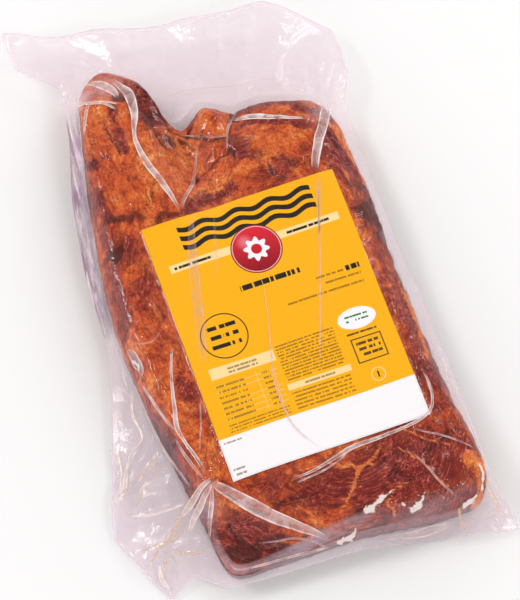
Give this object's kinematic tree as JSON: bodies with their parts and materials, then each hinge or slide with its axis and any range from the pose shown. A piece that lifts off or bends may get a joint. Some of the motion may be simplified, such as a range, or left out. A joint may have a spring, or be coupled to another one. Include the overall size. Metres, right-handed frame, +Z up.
{
  "type": "vacuum packed bacon slab",
  "caption": "Whole smoked bacon slab sealed in a clear vacuum bag with a printed insert, wide open header and loose welded margins.",
  "frame": {"origin": "under the middle of the whole pack's box, on the surface that the pack lies on", "axes": "+Y along the pack towards its loose header, +X across it to the right seen from above, +Z up out of the printed side"},
  "size_m": [0.298, 0.5096, 0.0569],
  "materials": {
    "film_and_bacon": "clear glossy vacuum film drawn tight over smoked pork",
    "insert_print": "yellow printed paper seen through the film"
  },
  "bodies": {
    "root": {"vacuum_bag": "film_and_bacon", "printed_insert": "insert_print"}
  },
  "joints": []
}
